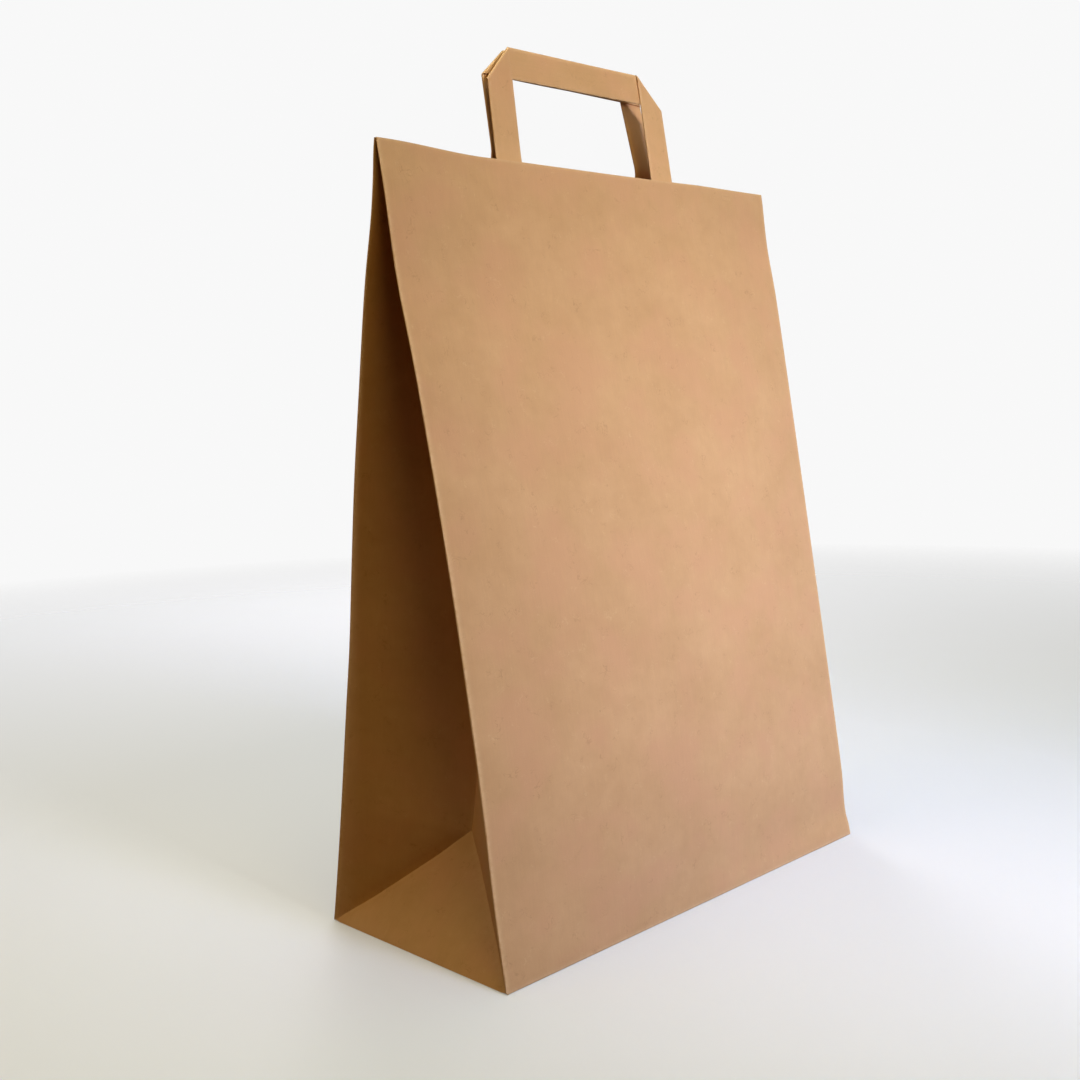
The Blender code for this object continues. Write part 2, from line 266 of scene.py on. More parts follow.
def graded_steps(length):
    """Distances from 0 to length, close together at both ends."""
    near = [step * MM for step in FOLD_STEPS if step * MM < length / 2 - WIDE_STEP / 2]
    middle_length = length - 2 * near[-1]
    count = max(1, round(middle_length / WIDE_STEP))
    middle = [near[-1] + middle_length * i / count for i in range(1, count)]
    return np.array(near + middle + [length - step for step in reversed(near)])


class SoftWaves:
    """Soft low waves over a sheet, the same each time for the same seed."""

    def __init__(self, seed, count=14, shortest=55 * MM, longest=190 * MM, slant=0.55, strength=2.2):
        chance = np.random.RandomState(seed)
        lengths = chance.uniform(shortest, longest, count)
        angles = chance.normal(0, slant, count)
        self.across = 2 * math.pi / lengths * np.cos(angles)
        self.up = 2 * math.pi / lengths * np.sin(angles)
        self.phase = chance.uniform(0, 2 * math.pi, count)
        self.height = lengths / lengths.sum() * strength

    def at(self, x, s):
        turns = x[..., None] * self.across + s[..., None] * self.up + self.phase
        return (np.sin(turns) * self.height).sum(-1)


class Sheet:
    """Front or back panel: where its middle surface lies at x across and s up from the bottom fold."""

    def __init__(self, bag, shape):
        self.bag = bag
        self.shape = shape
        self.side = shape.side
        self.waves = SoftWaves(shape.seed)
        self.half_width = bag.width / 2
        self.half_depth = bag.depth / 2
        self.inner = self.half_width - self.half_depth

    def mouth_shift(self, x):
        """How far back the mouth stands: straight between the gussets, and not at all at the corners."""
        left, right = self.shape.mouth
        straight = mix(left, right, (x / self.inner + 1) / 2)
        bent = np.where(x < 0, left, right) * ease((self.half_width - np.abs(x)) / self.half_depth)
        return np.where(np.abs(x) <= self.inner, straight, bent)

    def cut_height(self, x):
        """How much higher the mouth was cut than straight across."""
        wave = np.sin(math.pi * x / self.half_width)
        return -self.shape.cut * wave if self.side < 0 else self.shape.cut * np.maximum(-wave, 0)

    def depth_at(self, x, s):
        shape = self.shape
        length = self.bag.panel_length
        share = s / length
        across = (x / self.half_width + 1) / 2
        middle = 1 - (x / self.half_width) ** 2
        low = mix(shape.left_bow[0], shape.right_bow[0], across) + shape.crown[0] * middle
        high = mix(shape.left_bow[1], shape.right_bow[1], across) + shape.crown[1] * middle
        outward = mix(self.half_depth, CLOSED, share) + low * low_bow(share) + high * high_bow(share)
        outward = outward + dents(shape.left_dents, share) * (1 - across) ** 2
        outward = outward + dents(shape.right_dents, share) * across**2
        to_side = self.half_width - np.abs(x)
        calm = ease(s / CALM_FOOT) * ease((length - s) / CALM_MOUTH) * ease(to_side / CALM_SIDE)
        outward = outward + self.bag.waviness * self.waves.at(x, s) * calm
        return self.side * outward + self.mouth_shift(x) * share

    def points(self, x, s):
        """Points of the sheet. Steps up the sheet keep their length, so that leaning costs height."""
        x, s = np.broadcast_arrays(np.asarray(x, float), np.asarray(s, float))
        s = s * (1 + self.cut_height(x) / self.bag.panel_length)
        path = s[..., None] * np.linspace(0, 1, PATH_STEPS + 1)
        depths = self.depth_at(x[..., None] + np.zeros_like(path), path)
        rises = np.sqrt(np.maximum(np.diff(path, axis=-1) ** 2 - np.diff(depths, axis=-1) ** 2, 0))
        return np.stack([x, depths[..., -1], CORNER_HEIGHT + rises.sum(-1)], -1)


def front_and_back(scene):
    return Sheet(scene.bag_sizes, FRONT_PANEL), Sheet(scene.bag_sizes, BACK_PANEL)


# Paper with a thickness


def paper_shell(name, points, faces, thickness, flat, wear_and_highlight, edge):
    """Gives a surface its paper thickness, half to each side, and closes its cut edges.

    flat is each point's place on the flat sheet, the fold values how rubbed by a fold it is and how
    strongly the painted highlight along that fold lies on it, and edge how near it is to a cut edge.
    """
    middle = bpy.data.meshes.new(name + "_middle")
    middle.from_pydata(points.tolist(), [], faces)
    normals = np.zeros(len(points) * 3)
    middle.vertex_normals.foreach_get("vector", normals)
    bpy.data.meshes.remove(middle)
    offset = normals.reshape(-1, 3) * (thickness / 2)
    count = len(points)
    sides = {}
    for face in faces:
        for start, end in zip(face, face[1:] + face[:1]):
            sides[start, end] = True
    rim = [(end, start, start + count, end + count) for start, end in sides if (end, start) not in sides]
    inner = [tuple(corner + count for corner in reversed(face)) for face in faces]
    return paper_object(
        name,
        np.concatenate([points + offset, points - offset]),
        faces + inner + rim,
        np.tile(flat, (2, 1)),
        np.tile(wear_and_highlight, 2),
        np.tile(edge, 2),
    )


def paper_object(name, points, faces, flat, wear_and_highlight, edge):
    """A piece of paper whose mesh carries its place on the flat sheet, and its rubbed folds with a painted
    highlight, for the material.
    """
    mesh = bpy.data.meshes.new(name)
    mesh.from_pydata(points.tolist(), [], faces)
    corners = np.zeros(len(mesh.loops), np.int32)
    mesh.loops.foreach_get("vertex_index", corners)
    layer = mesh.uv_layers.new(name="sheet")
    layer.data.foreach_set("uv", flat[corners].astype(np.float32).ravel())
    # The first attribute carries rubbed folds and a painted highlight along them
    for label, values in (("fold_wear_and_highlight", wear_and_highlight), ("cut_edge", edge)):
        attribute = mesh.attributes.new(label, "FLOAT", "POINT")
        attribute.data.foreach_set("value", values.astype(np.float32))
    mesh.polygons.foreach_set("use_smooth", np.ones(len(mesh.polygons), bool))
    mesh.validate()
    mesh.update()
    mesh.set_sharp_from_angle(angle=SHARP_FOLD)
    item = bpy.data.objects.new(name, mesh)
    bpy.context.scene.collection.objects.link(item)
    return item


def grid_faces(numbers):
    """Squares between neighbouring columns of point numbers."""
    faces = []
    for left, right in zip(numbers, numbers[1:]):
        for row in range(len(left) - 1):
            faces.append((left[row], right[row], right[row + 1], left[row + 1]))
    return faces


def split_along(faces, folded):
    """Splits each square with two opposite corners on a fold into two triangles that meet on it."""
    split = []
    for face in faces:
        if face[0] in folded and face[2] in folded:
            split += [(face[0], face[1], face[2]), (face[0], face[2], face[3])]
        elif face[1] in folded and face[3] in folded:
            split += [(face[0], face[1], face[3]), (face[1], face[2], face[3])]
        else:
            split.append(face)
    return split


# The folded sheet of the bag


class SheetPoints:
    """Collects points and faces, with their place on the flat sheet and their fold rubbing with a painted
    highlight.
    """

    def __init__(self):
        self.points = []
        self.flat = []
        self.wear_and_highlight = []
        self.edge = []
        self.faces = []

    def add_column(self, points, flat, wear_and_highlight, edge):
        start = len(self.points)
        self.points.extend(points)
        self.flat.extend(flat)
        self.wear_and_highlight.extend(wear_and_highlight)
        self.edge.extend(edge)
        return list(range(start, len(self.points)))

    def build(self, name, thickness):
        points, flat, wear_and_highlight, edge = map(np.array, (self.points, self.flat, self.wear_and_highlight, self.edge))
        return paper_shell(name, points, self.faces, thickness, flat, wear_and_highlight, edge)


def base_height(x, y, half_width, half_depth):
    """Height of the inner base: on the flaps' edges, and down on the floor at the open ends between them."""
    past_flap = half_depth - np.abs(y) - (half_width - np.abs(x))
    return mix(INNER_BASE, BASE_ON_FLOOR, ease(past_flap / BASE_SLOPE))


class BagBuilder:
    """Lays out the sheet in columns: the seam's inner strip, left gusset, front, right gusset and back."""

    def __init__(self, scene):
        self.bag = scene.bag_sizes
        self.front, self.back = front_and_back(scene)
        self.half_width = self.bag.width / 2
        self.half_depth = self.bag.depth / 2
        self.apex_height = math.sqrt(self.half_depth**2 - self.bag.apex_in**2)
        self.across = graded_steps(self.half_depth)
        length = self.bag.panel_length
        upper_count = round((length - self.half_depth) / ROW_STEP)
        upper = np.linspace(self.half_depth, length, upper_count + 1)[1:-1]
        near_mouth = length - np.array(MOUTH_STEPS) * MM
        self.rows = np.concatenate([self.across, upper, near_mouth])
        self.lower = len(self.across) - 1
        self.diagonals = set()
        self.feet = []
        self.sheet = SheetPoints()
        self.share = self.rows / length
        self.radius = mix(self.bag.fold_radius, PITCH / 2, ease(self.share * 1.05))
        self.edge = nearness(length - self.rows, 0.7 * MM)

    def panel_columns(self, panel, places):
        return panel.points(places[:, None], self.rows[None, :])

    def place_columns(self, start, end):
        """Places across a panel from start to end, graded towards its side folds."""
        steps = graded_steps(self.bag.width) - self.half_width
        low, high = min(start, end), max(start, end)
        inside = steps[(steps > low + 0.3 * MM) & (steps < high - 0.3 * MM)]
        places = np.concatenate([[low], inside, [high]])
        return places if start < end else places[::-1]

    def gusset_crease(self, hand, top_height, half):
        """Points up a gusset's middle crease from the apex, and how far up each is as a share."""
        mouth = (FRONT_PANEL.mouth[hand > 0] + BACK_PANEL.mouth[hand > 0]) / 2
        share = (self.rows[self.lower :] - self.half_depth) / (self.bag.panel_length - self.half_depth)
        inward = np.sqrt(self.half_depth**2 - (self.apex_height * (1 - share)) ** 2)
        x = hand * (self.half_width - inward)
        height = mix(CORNER_HEIGHT + self.apex_height, top_height, share)
        return np.stack([x, mouth * share + half * PITCH / 2, height], -1), share

    def half_gusset(self, hand, half, edge_column):
        """Columns of half a gusset, from its outer fold to its middle crease, with its diagonal fold."""
        lift = np.zeros_like(edge_column)
        lift[:, 1] = -half * 2 * self.radius
        fold = edge_column + lift
        crease, share = self.gusset_crease(hand, fold[-1, 2], half)
        corner = fold[0]
        apex = crease[0]
        foot = np.array([hand * self.half_width, half * PITCH / 2, CORNER_HEIGHT])
        part = self.across / self.half_depth
        columns = np.zeros((len(part), len(self.rows), 3))
        for i in range(self.lower):
            diagonal = mix(corner, apex, part[i])
            middle = mix(foot, apex, part[i])
            for j in range(len(part)):
                if j <= i:
                    columns[j, i] = mix(fold[i], diagonal, part[j] / part[i] if i else 0)
                else:
                    columns[j, i] = mix(diagonal, middle, (part[j] - part[i]) / (1 - part[i]))
        upper = fold[self.lower :]
        for j, across in enumerate(part):
            points = mix(upper, crease, across)
            points[:, 1] = mix(upper[:, 1], crease[:, 1], mix(across, ease(across), share))
            columns[j, self.lower :] = points
        self.even_out(columns)
        self.press_diagonal(columns, hand)
        self.lower_to_floor(columns)
        return columns

    def even_out(self, columns):
        """Lets the paper between the outer fold, the crease and the diagonal fold find an even curve."""
        top = self.lower + EVEN_ROWS
        across, up = np.diff(self.across), np.diff(self.rows[: top + 1])
        left, right = across[:-1, None, None], across[1:, None, None]
        below, above = up[None, :-1, None], up[None, 1:, None]
        column, row = np.meshgrid(np.arange(1, len(self.across) - 1), np.arange(1, top), indexing="ij")
        free = (row != column)[..., None]
        for _ in range(EVEN_ROUNDS):
            inner = columns[1:-1, 1:top]
            level = (columns[:-2, 1:top] * right + columns[2:, 1:top] * left) / (left + right)
            upright = columns[1:-1, : top - 1] * above + columns[1:-1, 2 : top + 1] * below
            even = (level + upright / (below + above)) / 2
            columns[1:-1, 1:top] = np.where(free, even, inner)

    def press_diagonal(self, columns, hand):
        """Presses the diagonal fold into the bag, fading out at its corner and at the apex."""
        for beside, share in ((0, 1), (1, 0.3), (-1, 0.3)):
            for column in range(2, self.lower - 1):
                end = min(self.across[column], self.half_depth - self.across[column])
                press = share * ease(end / CREASE_FADE)
                columns[column, column + beside] += np.array([-hand * CREASE_PRESS, 0, -CREASE_DROP]) * press

    def lower_to_floor(self, columns):
        """Lets the foot of the bottom triangle come down on the floor between the flaps."""
        for i in range(FOOT_ROWS):
            points = columns[:, i]
            ground = base_height(points[:, 0], points[:, 1], self.half_width, self.half_depth)
            points[:, 2] -= (INNER_BASE - ground) * (1 - self.rows[i] / FOOT_RISE)

    def add_columns(self, columns, place, wear_and_highlight):
        """Adds columns that start at place across the flat sheet. Gives their point numbers."""
        numbers = []
        for column, across, worn_and_highlit in zip(columns, place, wear_and_highlight):
            flat = np.stack([np.full(len(self.rows), across), self.rows], -1)
            numbers.append(self.sheet.add_column(column, flat, worn_and_highlit, self.edge))
        return numbers

    def fold_arc(self, start, hand, turn, place):
        """Columns round an outer fold, from the column start towards turn along Y."""
        angles = np.radians(ARC_TURNS)
        columns = []
        for angle in angles:
            column = start.copy()
            column[:, 0] += hand * self.radius * math.sin(angle)
            column[:, 1] += turn * self.radius * (1 - math.cos(angle))
            columns.append(column)
        # The whole arc is paler: rubbed paper and a painted highlight on the fold
        return self.add_columns(columns, [place] * len(angles), [np.ones(len(self.rows))] * len(angles))

    def crease_arc(self, first, last, hand, place):
        """Columns round a gusset's middle crease. Under the apex the paper is flat there."""
        folded = np.clip((self.rows - self.half_depth) / (6 * MM), 0, 1)
        columns = []
        for angle in np.radians(ARC_TURNS):
            column = mix(first, last, (1 - math.cos(angle)) / 2)
            column[:, 0] -= hand * PITCH / 2 * math.sin(angle) * folded
            columns.append(column)
        # The crease is paler where folded: rubbed paper and a painted highlight
        worn_and_highlit = [folded * 0.6] * len(columns)
        return self.add_columns(columns, [place] * len(columns), worn_and_highlit)

    def gusset_wear_and_highlight(self):
        """How rubbed each point of a half gusset is, with a painted highlight there, by its outer fold, its
        crease and its diagonal.
        """
        across, up = np.meshgrid(self.across, self.rows, indexing="ij")
        wear_and_highlight = nearness(across, 1.0 * MM)
        above = up >= self.half_depth
        wear_and_highlight = np.maximum(wear_and_highlight, np.where(above, nearness(self.half_depth - across, 0.8 * MM) * 0.6, 0))
        diagonal = nearness((across - up) / math.sqrt(2), 1.0 * MM) * 0.5
        return np.maximum(wear_and_highlight, np.where(above, 0, diagonal))

    # Paler along the side folds and the bottom fold: rubbed paper and a painted highlight
    def panel_wear_and_highlight(self, places):
        side = nearness(self.half_width - np.abs(places), 1.1 * MM)[:, None]
        bottom = nearness(self.rows, 0.9 * MM)[None, :]
        return np.maximum(side, bottom)

    def add_panel(self, points, places, start):
        """Adds a panel from start across the flat sheet. Gives its point numbers and where it ends."""
        flat = start + np.abs(places - places[0])
        return self.add_columns(points, flat, self.panel_wear_and_highlight(places)), flat[-1]

    def build(self):
        back_left = self.place_columns(SEAM_RIGHT, -self.half_width)
        front = self.place_columns(-self.half_width, self.half_width)
        back_right = self.place_columns(self.half_width, SEAM_LEFT)
        back_left_points = self.panel_columns(self.back, back_left)
        front_points = self.panel_columns(self.front, front)
        back_right_points = self.panel_columns(self.back, back_right)
        wear_and_highlight = self.gusset_wear_and_highlight()

        back_left_numbers, place = self.add_panel(back_left_points, back_left, 0.0)
        numbers = list(back_left_numbers)
        numbers += self.add_gusset(-1, back_left_points[-1], front_points[0], 1, place, wear_and_highlight)

        front_numbers, place = self.add_panel(front_points, front, place + self.bag.depth)
        numbers += front_numbers
        numbers += self.add_gusset(1, front_points[-1], back_right_points[0], -1, place, wear_and_highlight)

        step = SEAM_STEP * ease((SEAM_RIGHT + SEAM_SLOPE - back_right) / SEAM_SLOPE)
        back_right_points[:, :, 1] += step[:, None]
        back_right_numbers, _ = self.add_panel(back_right_points, back_right, place + self.bag.depth)
        numbers += back_right_numbers
        self.sheet.faces += split_along(grid_faces(numbers), self.diagonals)

        self.add_flap(front_numbers, front, -1, FRONT_FLAP, np.zeros(len(front)))
        self.add_flap(back_left_numbers, back_left, 1, BACK_FLAP, np.zeros(len(back_left)))
        self.add_flap(back_right_numbers, back_right, 1, BACK_FLAP, step)
        self.add_base()
        return self.sheet.build("kraft_sheet", self.bag.paper)

    def add_gusset(self, hand, from_panel, to_panel, first_half, place, wear_and_highlight):
        """Adds a whole gusset with its folds, from one panel's edge column to the other's."""
        first = self.half_gusset(hand, first_half, from_panel)
        second = self.half_gusset(hand, -first_half, to_panel)
        numbers = self.fold_arc(from_panel, hand, -first_half, place)
        first_numbers = self.add_columns(first, place + self.across, wear_and_highlight)
        numbers += first_numbers
        numbers += self.crease_arc(first[-1], second[-1], hand, place + self.half_depth)
        crease_numbers = numbers[-len(ARC_TURNS) :]
        second_places = place + self.bag.depth - self.across[::-1]
        second_numbers = self.add_columns(second[::-1], second_places, wear_and_highlight[::-1])
        numbers += second_numbers
        for i in range(self.lower + 1):
            self.diagonals |= {first_numbers[i][i], second_numbers[-1 - i][i]}
        numbers += self.fold_arc(to_panel, hand, first_half, place + self.bag.depth)[::-1]
        foot = [column[0] for column in first_numbers + crease_numbers + second_numbers]
        self.feet.append(foot[::hand])
        return numbers

    def add_flap(self, numbers, places, side, height, step):
        """Folds a panel under the bottom, round a small arc and in to just past the middle."""
        radius = CORNER_HEIGHT - height
        reach = self.half_depth + FLAP_LAP
        runs = np.append(np.linspace(0, reach, FLAP_STEPS)[1:-1], [reach - 0.6 * MM, reach])
        rows = []
        for angle in np.radians(FLAP_TURNS):
            inward = radius * (1 - math.cos(angle))
            drop = radius * math.sin(angle)
            rows.append((inward, CORNER_HEIGHT - drop, radius * angle, math.sin(angle)))
        rows += [(radius + run, height, radius * math.pi / 2 + run, 1) for run in runs]
        columns = []
        for number, x, lap in zip(numbers, places, step):
            start = self.sheet.points[number[0]]
            flat_x = self.sheet.flat[number[0]][0]
            column = []
            flat = []
            for inward, z, travelled, down in rows:
                narrow = (self.half_width - max(inward - radius, 0)) / self.half_width
                column.append(
                    np.array([x * narrow, start[1] - side * inward - side * lap * down, z - lap * down])
                )
                flat.append((flat_x + (x * narrow - x) * -side, -travelled))
            # Paler round the bottom fold: rubbed paper and a painted highlight
            wear_and_highlight = nearness(np.array([row[2] for row in rows]), 1.0 * MM)
            edge = nearness(reach - np.array([row[0] - radius for row in rows]), 0.5 * MM)
            columns.append([number[0]] + self.sheet.add_column(column, flat, wear_and_highlight, edge))
        self.sheet.faces += [face[::-1] for face in grid_faces(columns)]

    def add_base(self):
        """The inner base, from the foot of one gusset to the other."""
        left, right = [np.array([self.sheet.points[number] for number in foot]) for foot in self.feet]
        columns = [self.feet[0]]
        for i in range(1, BASE_STEPS):
            points = mix(left, right, i / BASE_STEPS)
            points[:, 2] = base_height(points[:, 0], points[:, 1], self.half_width, self.half_depth)
            zeros = np.zeros(len(points))
            columns.append(self.sheet.add_column(points, points[:, :2] + BASE_APART, zeros, zeros))
        columns.append(self.feet[1])
        self.sheet.faces += [face[::-1] for face in grid_faces(columns)]


# Handles of folded tape, and the patches over their legs

# How far in from its panel's middle surface the tape starts, and over what height it bends to its lean
HANDLE_GAP = 0.4 * MM
HANDLE_BEND = 6 * MM
BEND_STEPS = 24

# Radius of the corner folds of a tape of the usual thickness, and how far from a fold its shoulder drops
TAPE_FOLD_RADIUS = 0.45 * MM
SHOULDER_REACH = 7 * MM

# How far below the mouth a patch starts, its height, how far it goes past the legs, and how wide its
# slopes beside them are
PATCH_DROP = 6 * MM
PATCH_HEIGHT = 44 * MM
PATCH_SIDE = 8 * MM
PATCH_SLOPE = 2.4 * MM


class Tape:
    """One flat tape on a panel, up from inside the bag, across as the grip and down again."""

    def __init__(self, scene, panel):
        self.sizes = scene.bag_handles
        self.panel = panel
        set_by = scene.bag_front_handle if panel.side < 0 else scene.bag_back_handle
        self.rise = set_by.rise
        self.shift = set_by.shift
        self.width = set_by.tape_width
        self.slope = math.tan(set_by.tilt)
        self.lean = set_by.lean
        self.twist = set_by.twist
        self.drop = set_by.shoulder_drop
        self.length = scene.bag_sizes.panel_length
        self.widening = set_by.leg_widening
        self.inner = set_by.width / 2 - self.width * self.widening
        self.outer = self.inner + self.width
        self.radius = TAPE_FOLD_RADIUS * self.sizes.tape_thickness / TAPE_THICKNESS
        self.near = HANDLE_GAP + self.sizes.tape_thickness / 2

    def surface(self, across, up):
        """Where the tape would lie against its panel, and above the mouth bent to the handles' lean."""
        past = np.maximum(np.abs(across) - self.inner, 0)
        up = up + across * self.slope
        across = across + np.sign(across) * past * (self.widening - 1)
        x = self.shift + across
        below = self.panel.points(x, self.length + np.minimum(up, 0))
        middle = self.panel.points(np.full(2, self.shift), np.array([self.length - MM, self.length]))
        start_lean = math.atan2(middle[1, 1] - middle[0, 1], middle[1, 2] - middle[0, 2])
        rising = np.maximum(up, 0)
        end_lean = self.lean + self.twist * across / self.inner
        point = below.copy()
        for i in range(BEND_STEPS):
            bent = np.minimum((i + 0.5) / BEND_STEPS * rising / HANDLE_BEND, 1)
            lean = mix(start_lean, end_lean, bent)
            point[..., 1] += np.sin(lean) * rising / BEND_STEPS
            point[..., 2] += np.cos(lean) * rising / BEND_STEPS
        return point

    def place(self, across, up, depth):
        """Points at a depth in from the panel's middle surface."""
        step = 0.4 * MM
        point = self.surface(across, up)
        right = self.surface(across + step, up) - self.surface(across - step, up)
        rise = self.surface(across, up + step) - self.surface(across, up - step)
        inward = np.cross(right, rise)
        inward *= self.panel.side / np.linalg.norm(inward, axis=-1, keepdims=True)
        return point + inward * depth[..., None]

    def roll(self, past, height):
        """How far a fold moves what is past its start, and how far round the fold that lies."""
        turn = math.pi * self.radius
        angle = np.clip(past / self.radius, 0, math.pi)
        rolled = np.where(past >= turn, turn - 2 * past, self.radius * np.sin(angle) - past)
        return np.where(past <= 0, 0, rolled) - height * np.sin(angle), angle

    def fold(self, across, along, height):
        """Folds the flat tape at both corners. height is measured through the tape, 0 at its middle."""
        radius = self.radius
        root = math.sqrt(0.5)
        turn = math.pi * radius
        reach = self.rise + self.inner

        first = (along - across - reach) * root + turn / 2
        move, angle = self.roll(first, height)
        x = across - move * root
        u = along + move * root
        depth = radius * (1 - np.cos(angle)) + height * np.cos(angle)

        second = np.where(first >= turn, (x + u - reach) * root + turn / 2, 0)
        move, angle = self.roll(second, height)
        x = x + move * root
        u = u + move * root
        depth = np.where(second > 0, radius * (1 + np.cos(angle)) - height * np.cos(angle), depth)

        outward = np.clip((np.abs(x) - self.inner) / self.width, 0, 1)
        u = u - self.drop * outward * nearness((reach - np.abs(x) - u) * root, SHOULDER_REACH)
        return x, u, self.near + depth

    def section(self):
        """Outline of the tape: folded round along one long edge, with the paper's slit along the other."""
        half = self.width / 2
        thick = self.sizes.tape_thickness / 2
        slit = half - 0.3 * MM
        bent = half - 0.08 * MM
        flat = np.linspace(-slit, slit, 9)
        points = [(w, -thick) for w in flat]
        points += [(bent, -0.75 * thick), (half, -0.35 * thick), (slit, -0.07 * thick)]
        points += [(slit, 0.07 * thick), (half, 0.35 * thick), (bent, 0.75 * thick)]
        points += [(w, thick) for w in flat[::-1]]
        points += [(-bent, 0.75 * thick), (-half, 0.3 * thick)]
        points += [(-half, -0.3 * thick), (-bent, -0.75 * thick)]
        return np.array(points)

    def rows(self):
        """Rows along the tape with their slant: square to it, but along the folds at the corners."""
        middle = (self.outer + self.inner) / 2
        first = self.rise + self.inner - middle
        second = self.rise + self.inner + middle
        end = first + second + self.sizes.inside
        turn = math.pi * self.radius * math.sqrt(0.5)
        arc = np.linspace(-turn, turn, 11)
        runs = [
            np.linspace(-self.sizes.inside, first - turn - 0.5 * MM, 30),
            first + arc,
            np.linspace(first + turn + 0.5 * MM, second - turn - 0.5 * MM, 32),
            second + arc,
            np.linspace(second + turn + 0.5 * MM, end, 30),
        ]
        places = np.concatenate(runs)
        flat = 3 * MM
        ramp = 15 * MM
        slant = 1 - ease((np.abs(places - first) - flat) / ramp)
        slant = slant - (1 - ease((np.abs(places - second) - flat) / ramp))
        return places, slant

    def build(self, name):
        section = self.section()
        places, slant = self.rows()
        middle = -(self.outer + self.inner) / 2
        width = section[:, 0]
        along = places[:, None] + slant[:, None] * width[None, :]
        across = middle + width[None, :] + np.zeros_like(along)
        height = section[:, 1][None, :] + np.zeros_like(along)
        points = self.place(*self.fold(across, along, height))
        half = self.width / 2
        apart = np.sign(height) * FACES_APART + HANDLES_APART * (1 + self.panel.side)
        flat = np.stack([width[None, :] + apart, along], -1)
        # Paler along the tape's long edges and its corner folds: rubbed paper and a painted highlight
        wear_and_highlight = nearness(half - np.abs(width), 0.5 * MM)[None, :] + np.zeros_like(along)
        root = math.sqrt(0.5)
        reach = self.rise + self.inner
        corner = np.minimum(np.abs(along - across - reach), np.abs(along + across - reach)) * root
        wear_and_highlight = np.maximum(wear_and_highlight * 0.7, nearness(corner, 0.8 * MM))
        count = len(section)
        numbers = np.arange(len(places) * count).reshape(len(places), count)
        faces = []
        for low, high in zip(numbers, numbers[1:]):
            for k in range(count):
                after = (k + 1) % count
                faces.append((int(low[k]), int(high[k]), int(high[after]), int(low[after])))
        faces.append(tuple(int(n) for n in numbers[0]))
        faces.append(tuple(int(n) for n in numbers[-1][::-1]))
        if self.panel.side > 0:
            faces = [face[::-1] for face in faces]
        flat = flat.reshape(-1, 2)
        return paper_object(name, points.reshape(-1, 3), faces, flat, wear_and_highlight.ravel(), np.zeros(wear_and_highlight.size))

    def build_patch(self, name, paper):
        """Strip of paper glued over the legs inside the bag, raised over each leg."""
        outer = self.outer + PITCH
        inner = self.inner - PITCH
        low = PITCH
        high = HANDLE_GAP + self.sizes.tape_thickness + PITCH - paper / 2
        half = self.outer + PATCH_SIDE
        steps = np.linspace(0, half, 50)
        rising = ease((steps - inner + PATCH_SLOPE) / PATCH_SLOPE)
        raised = rising * (1 - ease((steps - outer) / PATCH_SLOPE))
        across = np.concatenate([-steps[:0:-1], steps])
        depth = mix(low, high, np.concatenate([raised[:0:-1], raised]))
        up = -PATCH_DROP - np.linspace(PATCH_HEIGHT, 0, 20)
        across, up = np.meshgrid(across, up, indexing="ij")
        points = self.place(across, up, depth[:, None] + np.zeros_like(across))
        to_end = np.minimum(-PATCH_DROP - up, up + PATCH_DROP + PATCH_HEIGHT)
        edge = nearness(np.minimum(half - np.abs(across), to_end), 0.6 * MM)
        sheet = SheetPoints()
        columns = []
        for column, flat_x, flat_y, near in zip(points, across, up, edge):
            flat = np.stack([flat_x + PATCHES_APART, flat_y], -1)
            columns.append(sheet.add_column(column, flat, np.zeros(len(near)), near))
        faces = grid_faces(columns)
        sheet.faces = faces if self.panel.side < 0 else [face[::-1] for face in faces]
        return sheet.build(name, paper)


# Kraft paper

# Where the tapes' and the patches' paper starts on the texture, and how bright it is beside the sheet's
FRONT_TAPE_START = 4.0
BACK_TAPE_START = 6.0
PATCH_START = 9.0
TAPE_BRIGHTNESS = 1.12
PATCH_BRIGHTNESS = 0.94


class Bench:
    """Adds and links shader nodes."""

    def __init__(self, tree):
        self.tree = tree

    def put(self, socket, value):
        if isinstance(value, bpy.types.NodeSocket):
            self.tree.links.new(value, socket)
        else:
            socket.default_value = value

    def node(self, kind, inputs=None, **settings):
        item = self.tree.nodes.new(kind)
        for label, value in settings.items():
            setattr(item, label, value)
        for label, value in (inputs or {}).items():
            self.put(item.inputs[label], value)
        return item

    def sums(self, operation, a, b=0.0):
        item = self.node("ShaderNodeMath", operation=operation)
        self.put(item.inputs[0], a)
        self.put(item.inputs[1], b)
        return item.outputs[0]

    def plus(self, a, b):
        return self.sums("ADD", a, b)

    def times(self, a, b):
        return self.sums("MULTIPLY", a, b)

    def noise(self, place, scale, detail=2.0, roughness=0.5, distortion=0.0):
        inputs = {"Vector": place, "Scale": scale, "Detail": detail}
        inputs.update({"Roughness": roughness, "Distortion": distortion})
        return self.node("ShaderNodeTexNoise", inputs).outputs["Fac"]

    def spread(self, value, low, high, to_low=0.0, to_high=1.0):
        inputs = {"Value": value, "From Min": low, "From Max": high, "To Min": to_low, "To Max": to_high}
        return self.node("ShaderNodeMapRange", inputs, clamp=True).outputs[0]

    def usual(self, noise, to_low, to_high):
        """Spreads the range that most of a noise lies in over a new one."""
        return self.spread(noise, 0.3, 0.7, to_low, to_high)

    def blend(self, share, a, b, mode="MIX"):
        item = self.node("ShaderNodeMix", data_type="RGBA", blend_type=mode)
        self.put(item.inputs[0], share)
        self.put(item.inputs[6], a)
        self.put(item.inputs[7], b)
        return item.outputs[2]

    def moved(self, place, offset, scale=(1, 1, 1)):
        inputs = {"Vector": place, "Location": offset, "Scale": scale}
        return self.node("ShaderNodeMapping", inputs).outputs[0]

    def attribute(self, label):
        return self.node("ShaderNodeAttribute", attribute_name=label).outputs["Fac"]


